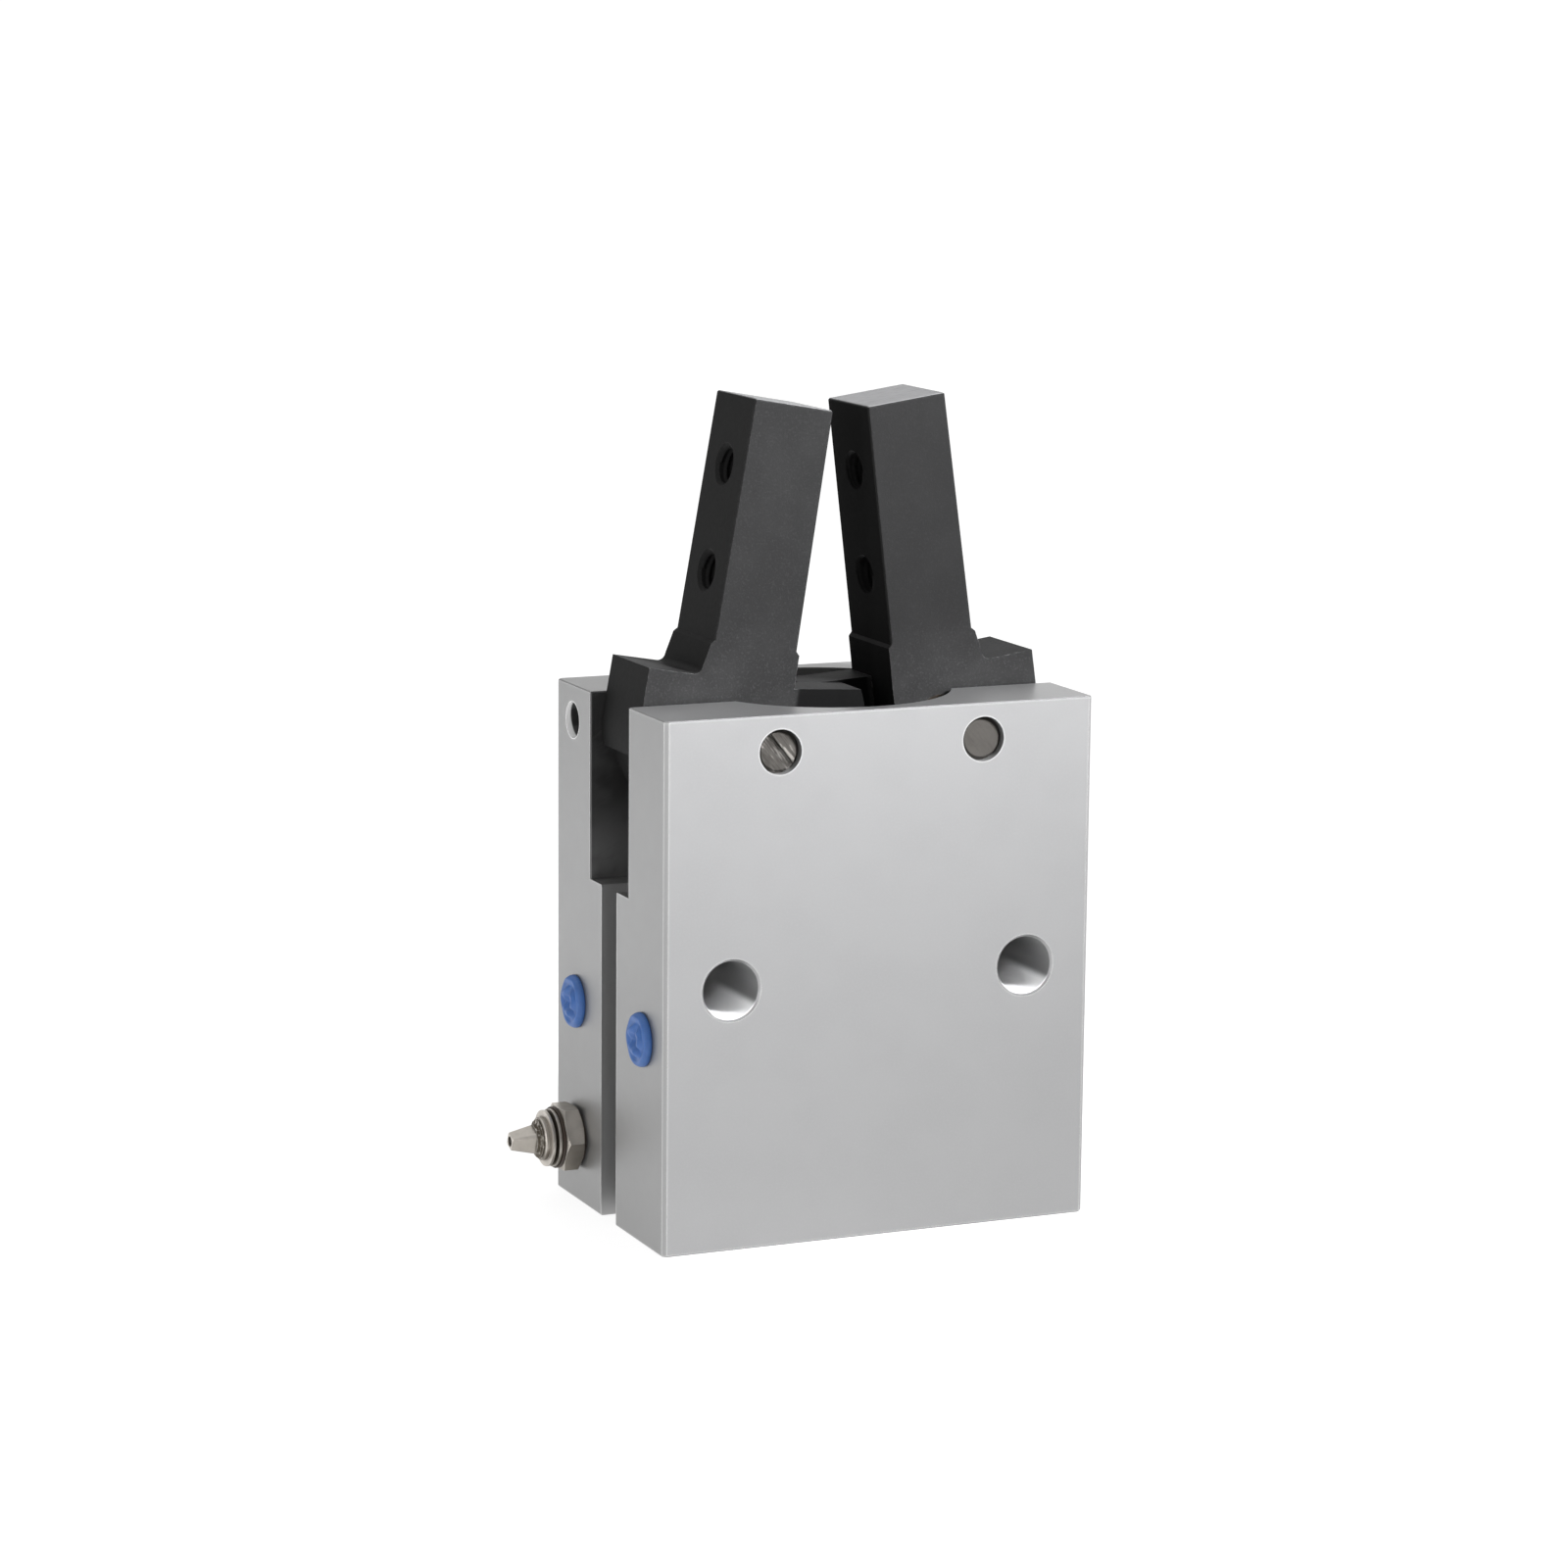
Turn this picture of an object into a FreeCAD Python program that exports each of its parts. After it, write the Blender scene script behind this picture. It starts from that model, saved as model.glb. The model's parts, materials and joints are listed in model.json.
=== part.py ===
"""Angular pneumatic gripper, 25 mm bore, double acting, drawn closed.

Units are millimetres. The origin is the middle of the body's bottom face, +Z is up towards the
fingertips, the fingers swing in the XZ plane, -Y is the plain front face and -X is the port face.
"""

import FreeCAD
import Part

import math
import os

V = FreeCAD.Vector
AXIS_X, AXIS_Y, AXIS_Z = V(1, 0, 0), V(0, 1, 0), V(0, 0, 1)

# ---- driving dimensions -------------------------------------------------------------------
BODY_W, BODY_D, BODY_H = 52.0, 33.0, 60.0      # along X, Y, Z
CORNER_CHAMFER, EDGE_BREAK = 0.45, 0.12        # on the upright edges, and on the others
SLOT_W, SLOT_FLOOR_Z = 12.0, 38.5              # finger slot, right through along X
TOP_BORE_R, TOP_BORE_FLOOR_Z = 14.0, 33.2      # room for the forked rod, seat of the rod cover
MOUTH_R, MOUTH_Z0 = 14.6, 44.0                 # the wider mouth of that bore
CYLINDER_R = 12.5
SENSOR_GROOVE_W, SENSOR_GROOVE_DEPTH = 4.6, 4.2

PIVOT_X, PIVOT_Z, PIVOT_PIN_R = 12.35, 55.9, 2.5
PIVOT_BORE_R = 2.52
PIN_RECESS = 0.6                               # pin ends lie this far under the faces
MOUNT_X, MOUNT_Z, MOUNT_R = 18.0, 29.6, 3.3    # clearance for M6, right through along Y
M5_TAP_R = 2.1
PORT_Y, PORT_Z, PORT_DEPTH = 10.2, 23.4, 6.5
NIPPLE_Z = 7.55
SET_SCREW_Y = 11.5
BASE_HOLE_X, BASE_HOLE_DEPTH = 18.0, 10.0

STROKE = 9.0                                   # piston travel
FINGER_T = 11.0                                # finger thickness along Y
LINER_T = 0.4                                  # black wear plates on the slot's walls
ARM_SPLIT = 0.1                                # half the gap between the two crossed lever arms
SHOULDER_R, HEEL_R = 12.4, 11.2                # reach of the shoulder and of the relieved heel
LEVER_END_R = 15.3                             # reach of a lever arm from its pivot
CENTER_PIN_R, ROLLER_R = 1.5, 2.5
FORK_HALF_W = 2.62                             # half the width of the lever's open slot

ROD_R = 4.0
PISTON_R, PISTON_Z0, PISTON_L = 12.3, 8.0, 12.0
CAP_FACE_Z, CAP_Z0 = 6.5, 2.45
COVER_Z0 = 30.5                                # lower end of the rod cover
RING_T, RING_GROOVE = 1.2, 0.75                # retaining ring thickness, depth of its groove
STATIC_GAP = 0.05                              # assembly clearance between still parts

LEFT, RIGHT = -1, 1
FRONT, BACK = -1, 1
CLOSED_TILT = {LEFT: 10.0, RIGHT: 8.2}         # each finger leans in by this, closed


# ---- helpers --------------------------------------------------------------------------------
def block(x, y, z):
    """A box from (low, high) pairs."""
    size = [b - a for a, b in (x, y, z)]
    return Part.makeBox(*size, V(x[0], y[0], z[0]))


def rod(radius, start, end):
    """A cylinder from one point to another."""
    axis = end - start
    return Part.makeCylinder(radius, axis.Length, start, axis)


def post(radius, z0, z1, x=0.0, y=0.0):
    """A vertical cylinder."""
    return rod(radius, V(x, y, z0), V(x, y, z1))


def tube(outer, inner, z0, z1):
    """A vertical ring about the Z axis."""
    return post(outer, z0, z1).cut(post(inner, z0 - 1, z1 + 1))


def cross_bar(radius, x, z, y0, y1):
    """A cylinder along Y."""
    return rod(radius, V(x, y0, z), V(x, y1, z))


def lathe(points, origin, axis):
    """Turns an outline of (distance along the axis, radius) points about the axis."""
    side = AXIS_Z if abs(axis.z) < 0.5 else AXIS_X
    corners = [origin + axis * a + side * r for a, r in points]
    face = Part.Face(Part.makePolygon(corners + corners[:1]))
    return face.revolve(origin, axis, 360)


def outline(start, *steps):
    """A closed face in the XZ plane. A step is a point, or (through, end) for an arc."""
    edges, here = [], start
    for step in steps + (start,):
        if isinstance(step[0], tuple):
            through, end = step
            at = [V(p[0], 0, p[1]) for p in (here, through, end)]
            edges.append(Part.Arc(*at).toShape())
            here = end
        elif step != here:
            edges.append(Part.makeLine(V(here[0], 0, here[1]), V(step[0], 0, step[1])))
            here = step
    return Part.Face(Part.Wire(edges))


def slab(face, y0, y1):
    """A flat outline in the XZ plane made thick from y0 to y1."""
    solid = face.extrude(V(0, y1 - y0, 0))
    solid.translate(V(0, y0, 0))
    return solid


def polar(radius, degrees):
    """A point (x, z) at a radius and angle."""
    a = math.radians(degrees)
    return (radius * math.cos(a), radius * math.sin(a))


def hexagon(across_flats, start, length, axis, turn=0.0):
    """A hexagonal bar along the X or Z axis, with its first corner turned from +Y."""
    r = across_flats / math.sqrt(3)
    corners = []
    for i in range(6):
        a = math.radians(60 * i + turn)
        if abs(axis.x) > 0.5:
            corners.append(start + V(0, r * math.cos(a), r * math.sin(a)))
        else:
            corners.append(start + V(r * math.sin(a), r * math.cos(a), 0))
    face = Part.Face(Part.makePolygon(corners + corners[:1]))
    return face.extrude(axis * length)


def mirrored(shape):
    """The same piece on the other side of the YZ plane."""
    return shape.mirror(V(0, 0, 0), AXIS_X)


def chamfer_edges(shape, size, wanted):
    """Chamfers the straight edges whose middle point passes the test."""
    picked = [e for e in shape.Edges if wanted(e.BoundBox.Center, e)]
    return shape.makeChamfer(size, picked)


def is_upright(edge):
    return edge.BoundBox.ZLength > BODY_H / 2


# ---- body -----------------------------------------------------------------------------------
def make_body():
    half_w, half_d = BODY_W / 2, BODY_D / 2
    body = block((-half_w, half_w), (-half_d, half_d), (0, BODY_H))
    body = chamfer_edges(body, CORNER_CHAMFER, lambda middle, edge: is_upright(edge))
    body = chamfer_edges(body, EDGE_BREAK, lambda middle, edge: not is_upright(edge))

    cuts = [
        block((-half_w - 1, half_w + 1), (-SLOT_W / 2, SLOT_W / 2), (SLOT_FLOOR_Z, BODY_H + 1)),
        post(TOP_BORE_R, TOP_BORE_FLOOR_Z, BODY_H + 1),
        post(MOUTH_R, MOUTH_Z0, BODY_H + 1),
        post(TOP_BORE_R + RING_GROOVE, SLOT_FLOOR_Z, SLOT_FLOOR_Z + RING_T + 0.1),
        post(CYLINDER_R, -1, TOP_BORE_FLOOR_Z),
        post(CYLINDER_R + RING_GROOVE, CAP_Z0 - RING_T - 0.15, CAP_Z0 - 0.05),
    ]
    for side in (LEFT, RIGHT):
        face_x = side * half_w
        floor_x = side * (half_w - SENSOR_GROOVE_DEPTH)
        cuts.append(block(
            sorted((floor_x, face_x + side)),
            (-SENSOR_GROOVE_W / 2, SENSOR_GROOVE_W / 2),
            (-1, SLOT_FLOOR_Z + 0.1),
        ))
        cuts.append(cross_bar(PIVOT_BORE_R, side * PIVOT_X, PIVOT_Z, -half_d - 1, half_d + 1))
        cuts.append(mount_hole(side))
        cuts.append(rod(
            M5_TAP_R,
            V(face_x + side, SET_SCREW_Y, PIVOT_Z),
            V(side * PIVOT_X, SET_SCREW_Y, PIVOT_Z),
        ))
        cuts.append(post(M5_TAP_R, -1, BASE_HOLE_DEPTH, side * BASE_HOLE_X))
    cuts += port_cuts()
    return body.cut(cuts)


def mount_hole(side):
    """A bolt hole right through from front to back, with a small chamfer at each mouth."""
    half_d, lead = BODY_D / 2, 0.25
    x = side * MOUNT_X
    hole = cross_bar(MOUNT_R, x, MOUNT_Z, -half_d - 1, half_d + 1)
    for end in (FRONT, BACK):
        mouth = Part.makeCone(
            MOUNT_R + lead, MOUNT_R, lead, V(x, end * half_d, MOUNT_Z), V(0, -end, 0))
        hole = hole.fuse(mouth)
    return hole


def port_cuts():
    """Three tapped ports in the -X face, each with a drilled way into its chamber."""
    face_x = -BODY_W / 2
    inner_x = face_x + PORT_DEPTH
    cuts = []
    for y, z in ((-PORT_Y, PORT_Z), (PORT_Y, PORT_Z), (PORT_Y, NIPPLE_Z)):
        cuts.append(rod(M5_TAP_R, V(face_x - 1, y, z), V(inner_x, y, z)))
        cuts.append(Part.makeCone(
            M5_TAP_R + 0.4, M5_TAP_R, 0.4, V(face_x, y, z), AXIS_X))
    back_off = 0.6
    ways = (
        (V(inner_x - back_off, -PORT_Y, PORT_Z), V(-7.6, -9.2, 29.8)),
        (V(inner_x - back_off, PORT_Y, PORT_Z), V(-8.0, 9.2, 7.4)),
        (V(inner_x - back_off, PORT_Y, NIPPLE_Z), V(-6.8, PORT_Y, NIPPLE_Z)),
    )
    return cuts + [rod(0.6, start, end) for start, end in ways]


# ---- cylinder end parts ---------------------------------------------------------------------
CUP_O_RING_R, O_RING_SECTION_R = 11.72, 0.75
O_RING_FLOOR_R = 10.9


def groove_ring(z_mid):
    """What is cut away round a plug for its O-ring."""
    return tube(CYLINDER_R + 1, O_RING_FLOOR_R, z_mid - 0.9, z_mid + 0.9)


def o_ring(z_mid):
    return Part.makeTorus(CUP_O_RING_R, O_RING_SECTION_R, V(0, 0, z_mid), AXIS_Z)


def make_end_cap():
    cap = post(CYLINDER_R - STATIC_GAP, CAP_Z0, CAP_FACE_Z)
    cap = cap.fuse(post(8.0, 0, CAP_Z0))
    cap = cap.removeSplitter()
    return cap.cut(groove_ring(4.5))


def make_retaining_ring(bore_r, z0, radial_depth):
    """An internal circlip: a ring with a gap at the back, and a drilled lug each side of it."""
    outer = bore_r + RING_GROOVE - 0.1
    ring = tube(outer, bore_r - radial_depth, z0, z0 + RING_T)
    lug_r, lug_angle = 1.9, 14.0
    at = bore_r - radial_depth
    for turn in (90 - lug_angle, 90 + lug_angle):
        x, y = polar(at, turn)
        ring = ring.fuse(post(lug_r, z0, z0 + RING_T, x, y))
    ring = ring.cut(block((-1.4, 1.4), (0, outer + 1), (z0 - 1, z0 + RING_T + 1)))
    for turn in (90 - lug_angle, 90 + lug_angle):
        x, y = polar(at, turn)
        ring = ring.cut(post(0.8, z0 - 1, z0 + RING_T + 1, x, y))
    return ring


def make_bumper(z0):
    """A rubber cushion ring."""
    return tube(11.0, 7.2, z0, z0 + 1.4)


BUSH_R, BUSH_TOP_Z = 5.5, 34.2
ROD_SEAL_R, ROD_SEAL_Z = 6.2, (35.2, 37.4)


def make_rod_cover():
    cover = post(TOP_BORE_R - STATIC_GAP, TOP_BORE_FLOOR_Z, SLOT_FLOOR_Z)
    cover = cover.fuse(post(CYLINDER_R - STATIC_GAP, COVER_Z0, TOP_BORE_FLOOR_Z)).removeSplitter()
    return cover.cut([
        post(ROD_R + 0.1, COVER_Z0 - 1, SLOT_FLOOR_Z + 1),
        post(BUSH_R + STATIC_GAP, COVER_Z0 - 1, BUSH_TOP_Z),
        post(ROD_SEAL_R, *ROD_SEAL_Z),
        Part.makeCone(ROD_R + 0.1, ROD_R + 1.1, 0.6, V(0, 0, SLOT_FLOOR_Z - 0.6), AXIS_Z),
        groove_ring(31.9),
    ])


def make_rod_bush():
    return tube(BUSH_R, ROD_R + 0.03, COVER_Z0, BUSH_TOP_Z)


def make_rod_seal():
    """A lip seal: a square-backed ring with a V notch facing the cylinder."""
    z0, z1 = ROD_SEAL_Z
    inner, outer = ROD_R + 0.04, ROD_SEAL_R - STATIC_GAP
    middle = (inner + outer) / 2
    points = [
        (z0 + 0.05, inner), (z1 - 0.05, inner), (z1 - 0.05, outer), (z0 + 0.05, outer),
        (z0 + 0.05, middle + 0.45), (z0 + 1.0, middle), (z0 + 0.05, middle - 0.45),
    ]
    return lathe(points, V(0, 0, 0), AXIS_Z)


# ---- piston and forked rod ------------------------------------------------------------------
SPLIT_Z = PISTON_Z0 + PISTON_L / 2
PISTON_TOP_Z = PISTON_Z0 + PISTON_L
MAGNET_Z, MAGNET_FLOOR_R = (SPLIT_Z - 1.2, SPLIT_Z + 1.2), 9.4
SEAL_Z, SEAL_FLOOR_R = (16.2, 18.4), 10.2
WEAR_Z, WEAR_FLOOR_R = (9.4, 11.4), 11.4
NECK_R, NECK_Z0 = 3.0, 12.4
HEAD_R, HEAD_T, HEAD_Z1 = 3.5, 3.0, 11.4       # the piston screw's head
SCREW_R, SCREW_TOP_Z = 2.0, 18.8
PIN_Z = PIVOT_Z - STROKE / 2                   # centre pin, closed


def make_piston_lower():
    half = post(PISTON_R, PISTON_Z0, SPLIT_Z)
    return half.cut([
        tube(PISTON_R + 1, MAGNET_FLOOR_R, MAGNET_Z[0], SPLIT_Z + 1),
        tube(PISTON_R + 1, WEAR_FLOOR_R, *WEAR_Z),
        post(HEAD_R + 0.2, PISTON_Z0 - 1, HEAD_Z1),
        post(SCREW_R + 0.1, PISTON_Z0, SPLIT_Z),
        post(NECK_R + STATIC_GAP, NECK_Z0, SPLIT_Z + 1),
    ])


def make_piston_upper():
    half = post(PISTON_R, SPLIT_Z, PISTON_TOP_Z)
    return half.cut([
        tube(PISTON_R + 1, MAGNET_FLOOR_R, SPLIT_Z - 1, MAGNET_Z[1]),
        tube(PISTON_R + 1, SEAL_FLOOR_R, *SEAL_Z),
        post(NECK_R + STATIC_GAP, SPLIT_Z - 1, PISTON_TOP_Z + 1),
    ])


def make_magnet():
    return tube(PISTON_R - 0.1, MAGNET_FLOOR_R + STATIC_GAP, MAGNET_Z[0] + 0.05, MAGNET_Z[1] - 0.05)


def make_piston_seal():
    """A ring with a lip each way, waisted in the middle."""
    z0, z1 = SEAL_Z[0] + 0.05, SEAL_Z[1] - 0.05
    lip = CYLINDER_R - 0.05
    points = [
        (z0, SEAL_FLOOR_R + STATIC_GAP), (z1, SEAL_FLOOR_R + STATIC_GAP), (z1, lip - 0.5),
        (z1 - 0.35, lip), (z1 - 0.8, lip - 0.4), (z0 + 0.8, lip - 0.4), (z0 + 0.35, lip),
        (z0, lip - 0.5),
    ]
    return lathe(points, V(0, 0, 0), AXIS_Z)


def make_wear_ring():
    ring = tube(CYLINDER_R - 0.04, WEAR_FLOOR_R + STATIC_GAP, WEAR_Z[0] + 0.05, WEAR_Z[1] - 0.05)
    split = block((-0.4, 0.4), (0, CYLINDER_R + 1), (WEAR_Z[0] - 1, WEAR_Z[1] + 1))
    return ring.cut(split)


def make_piston_screw():
    """A socket head cap screw, up into the rod from below."""
    bottom = HEAD_Z1 - HEAD_T
    screw = post(HEAD_R, bottom, HEAD_Z1).fuse(post(SCREW_R, HEAD_Z1, SCREW_TOP_Z))
    return screw.removeSplitter().cut(hexagon(3.0, V(0, 0, bottom), 2.0, AXIS_Z))


FORK_X, FORK_R, EAR_R = 5.4, 10.6, 3.4         # half width, turned outside, round ear tops
FORK_Z0, FORK_FLOOR_Z, FORK_EAR_Y = 40.6, 43.8, 6.1


def make_forked_rod():
    """The piston rod with its fork: the ears stand in the round bore, outside the levers."""
    top_z = PIN_Z + EAR_R
    side_view = outline(
        (-FORK_X, FORK_Z0), (FORK_X, FORK_Z0), (FORK_X, FORK_FLOOR_Z + 1.4),
        (EAR_R, PIN_Z - 1.0), (EAR_R, PIN_Z), ((0, top_z), (-EAR_R, PIN_Z)),
        (-EAR_R, PIN_Z - 1.0), (-FORK_X, FORK_FLOOR_Z + 1.4),
    )
    fork = slab(side_view, -FORK_R, FORK_R).common(post(FORK_R, FORK_Z0, top_z))
    gap = block((-FORK_X - 1, FORK_X + 1), (-FORK_EAR_Y, FORK_EAR_Y), (FORK_FLOOR_Z, top_z + 1))
    pin_bore = cross_bar(CENTER_PIN_R + 0.02, 0, PIN_Z, -FORK_R, FORK_R)
    shaft = post(ROD_R, PISTON_TOP_Z, FORK_Z0).fuse(post(NECK_R, NECK_Z0, PISTON_TOP_Z))
    forked_rod = shaft.fuse(fork.cut([gap, pin_bore])).removeSplitter()
    return forked_rod.cut(post(SCREW_R + STATIC_GAP, NECK_Z0 - 1, SCREW_TOP_Z + 0.8))


def make_center_pin():
    half_l = FORK_R - 0.8
    return cross_bar(CENTER_PIN_R, 0, PIN_Z, -half_l, half_l)


def make_roller(side):
    inner, outer = sorted((side * 0.2, side * (FINGER_T / 2 - STATIC_GAP)))
    roller = cross_bar(ROLLER_R, 0, PIN_Z, inner, outer)
    return roller.cut(cross_bar(CENTER_PIN_R + 0.03, 0, PIN_Z, -12, 12))


# ---- fingers --------------------------------------------------------------------------------
ARM_IN, ARM_OUT, ARM_TOP = 4.4, -5.2, 37.4     # arm faces at the tip, upright, from the pivot
ARM_TAPER = 0.6                                # the inner face runs out by this to the root
ROOT_TOP, ROOT_STEP = 9.8, 0.35                # the root below the arm starts with a small step
ROOT_IN, ROOT_OUT = 5.5, -6.1                  # and flares to these faces
SHOULDER_TOP, ROOT_FILLET = 6.25, 0.9
HUB_R, BUSH_BORE_R = 5.8, 3.4
ATTACH_Z = (17.5, 29.5)                        # tapped holes for the customer's jaws
ARM_CHAMFER = 0.18
ARM_REACH = ARM_TOP - ROOT_TOP                 # length of the arm above its root


def finger_blank():
    """Arm, root, shoulder and heel in full thickness, upright, with the pivot at (0, 0)."""
    fillet_x, fillet_z = ROOT_OUT - ROOT_FILLET, SHOULDER_TOP + ROOT_FILLET
    bulge = ROOT_FILLET * (1 - math.sqrt(0.5))
    arm_foot = ARM_IN + ARM_TAPER
    face = outline(
        (ARM_OUT, ARM_TOP), (ARM_IN, ARM_TOP), (arm_foot, ROOT_TOP + ROOT_STEP),
        (arm_foot + ROOT_STEP, ROOT_TOP), (ROOT_IN, 3.0), (ROOT_IN, 1.84),
        (polar(HUB_R, -40.0), polar(HUB_R, -100.0)),
        polar(HEEL_R, 232.0), (polar(HEEL_R, 216.0), polar(HEEL_R, 200.0)),
        polar(SHOULDER_R, 199.0), (polar(SHOULDER_R, 189.0), (-SHOULDER_R, 0)),
        (-SHOULDER_R, SHOULDER_TOP), (fillet_x, SHOULDER_TOP),
        ((ROOT_OUT - bulge, SHOULDER_TOP + bulge), (ROOT_OUT, fillet_z)),
        (ARM_OUT - ROOT_STEP, ROOT_TOP), (ARM_OUT, ROOT_TOP + ROOT_STEP),
    )
    blank = slab(face, -FINGER_T / 2, FINGER_T / 2)
    return chamfer_edges(
        blank, ARM_CHAMFER,
        lambda middle, edge: middle.z > ROOT_TOP + 1 and edge.Length > 5)


def lever_face():
    """The inner arm, as it lies closed, with the pivot at (0, 0): its end is an open fork."""
    angle = math.degrees(math.atan2(STROKE / 2, PIVOT_X))
    lower_w = 4.9
    tine_end = polar(LEVER_END_R, -angle - math.degrees(math.asin(lower_w / LEVER_END_R)))
    top_end = polar(LEVER_END_R, 17.1)
    tine_root = (2.0, -2.0 * math.tan(math.radians(angle)) - lower_w / math.cos(math.radians(angle)))
    arm = outline(
        (3.0, 5.2), top_end, (polar(LEVER_END_R, -10.0), tine_end), tine_root,
    )
    slot_end = 12.0
    along = V(*polar(1.0, -angle), 0)
    across = V(-along.y, along.x, 0)
    mouth = LEVER_END_R + 2
    corners = [
        along * slot_end + across * FORK_HALF_W, along * mouth + across * FORK_HALF_W,
        along * mouth - across * FORK_HALF_W, along * slot_end - across * FORK_HALF_W,
    ]
    round_end = along * (slot_end - FORK_HALF_W)
    a, b, c, d = ((p.x, p.y) for p in corners)
    slot = outline(a, b, c, d, ((round_end.x, round_end.y), a))
    return arm, slot


def make_finger(side):
    """The left finger is drawn and the right one mirrored; their lever arms lie side by side."""
    depth = side                               # left arm in front, right arm behind
    near, far = sorted((depth * ARM_SPLIT, depth * FINGER_T / 2))
    tilt = CLOSED_TILT[side]
    finger = finger_blank()
    finger.rotate(V(0, 0, 0), AXIS_Y, tilt)
    arm, slot = lever_face()
    finger = finger.fuse(slab(arm, near, far)).removeSplitter()
    finger = finger.cut(slab(slot, -FINGER_T, FINGER_T))
    finger = finger.cut(cross_bar(BUSH_BORE_R, 0, 0, -FINGER_T, FINGER_T))
    for z in ATTACH_Z:
        hole = rod(M5_TAP_R, V(-20, 0, z), V(20, 0, z))
        for x, way in ((ARM_OUT, 1), (ARM_IN + ARM_TAPER * (ARM_TOP - z) / ARM_REACH, -1)):
            mouth = Part.makeCone(M5_TAP_R + 0.35, M5_TAP_R, 0.35, V(x, 0, z), V(way, 0, 0))
            hole = hole.fuse(mouth)
        hole.rotate(V(0, 0, 0), AXIS_Y, tilt)
        finger = finger.cut(hole)
    finger.translate(V(-PIVOT_X, 0, PIVOT_Z))
    return finger if side == LEFT else mirrored(finger)


def make_finger_bush(side):
    x = side * PIVOT_X
    half_t = FINGER_T / 2
    bush = cross_bar(BUSH_BORE_R - 0.02, x, PIVOT_Z, -half_t, half_t)
    return bush.cut(cross_bar(PIVOT_PIN_R + 0.04, x, PIVOT_Z, -half_t - 1, half_t + 1))


FLAT_DEPTH = 0.5                               # flat on the pin under its set screw


def make_pivot_pin(side):
    """A headless pin with chamfered ends and a flat for its set screw."""
    half_l, lead = BODY_D / 2 - PIN_RECESS, 0.4
    x = side * PIVOT_X
    pin = lathe(
        [(-half_l, 0), (-half_l, PIVOT_PIN_R - lead), (-half_l + lead, PIVOT_PIN_R),
         (half_l - lead, PIVOT_PIN_R), (half_l, PIVOT_PIN_R - lead), (half_l, 0)],
        V(x, 0, PIVOT_Z), AXIS_Y)
    flat_x = side * (PIVOT_X + PIVOT_PIN_R - FLAT_DEPTH)
    flat = block(
        sorted((flat_x, flat_x + side * 2)), (SET_SCREW_Y - 2.4, SET_SCREW_Y + 2.4),
        (PIVOT_Z - 3, PIVOT_Z + 3))
    pin = pin.cut(flat)
    if side == LEFT:
        slot = block((-4, 4), (-half_l - 1, -half_l + 0.35), (-0.5, 0.5))
        slot.rotate(V(0, 0, 0), AXIS_Y, 52)
        slot.translate(V(x, 0, PIVOT_Z))
        pin = pin.cut(slot)
    return pin


def make_set_screw(side):
    """A hexagon socket set screw that locks the pivot pin."""
    tip = side * (PIVOT_X + PIVOT_PIN_R - FLAT_DEPTH)
    length, socket = 6.0, 2.4
    end = tip + side * length
    screw = rod(M5_TAP_R - 0.04, V(tip, SET_SCREW_Y, PIVOT_Z), V(end, SET_SCREW_Y, PIVOT_Z))
    key = hexagon(2.5, V(end - side * socket, SET_SCREW_Y, PIVOT_Z), socket + 1, V(side, 0, 0))
    return screw.cut(key)


# ---- wear plates on the slot's walls --------------------------------------------------------
def make_liner(side, wall):
    """A thin black plate between the finger and one wall of the slot, notched round the pin."""
    wall_y = wall * SLOT_W / 2
    inner_x = math.sqrt(MOUTH_R ** 2 - (SLOT_W / 2 - LINER_T) ** 2) + 0.1
    plate = block(
        sorted((side * inner_x, side * (BODY_W / 2 - 0.05))),
        sorted((wall_y, wall_y - wall * LINER_T)),
        (SLOT_FLOOR_Z, BODY_H - 0.1))
    return plate.cut([
        cross_bar(PIVOT_PIN_R + 0.1, side * PIVOT_X, PIVOT_Z, -SLOT_W, SLOT_W),
        post(TOP_BORE_R + RING_GROOVE + 0.1, SLOT_FLOOR_Z, SLOT_FLOOR_Z + RING_T + 0.2),
    ])


# ---- port parts -----------------------------------------------------------------------------
PLUG_HEAD_R, PLUG_HEAD_T = 3.1, 1.3


def make_port_plug(side):
    """A soft transit plug: a thin domed head and a hollow stem in the port."""
    stem_r, bore_r = M5_TAP_R - 0.06, 1.2
    points = [
        (4.6, bore_r), (4.6, stem_r - 0.3), (4.3, stem_r), (0, stem_r),
        (0, PLUG_HEAD_R), (-0.6, PLUG_HEAD_R), (-1.1, PLUG_HEAD_R - 0.6),
        (-PLUG_HEAD_T, 1.2), (-PLUG_HEAD_T, 0), (0.6, 0), (0.6, bore_r),
    ]
    return lathe(points, V(-BODY_W / 2, side * PORT_Y, PORT_Z), AXIS_X)


NIPPLE_AT = V(-BODY_W / 2, PORT_Y, NIPPLE_Z)
GASKET_T, GASKET_R = 0.25, 3.2
HEX_AF, HEX_T = 7.1, 2.25
SEAL_T, SEAL_OUTER_R = 0.35, 3.55
NUT_T, COLLAR_T, BARB_L = 1.2, 0.6, 3.5
STEM_R = 2.05


def make_nipple_gasket():
    return lathe(
        [(0, M5_TAP_R + 0.45), (0, GASKET_R), (-GASKET_T, GASKET_R),
         (-GASKET_T, M5_TAP_R + 0.45)],
        NIPPLE_AT, AXIS_X)


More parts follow.
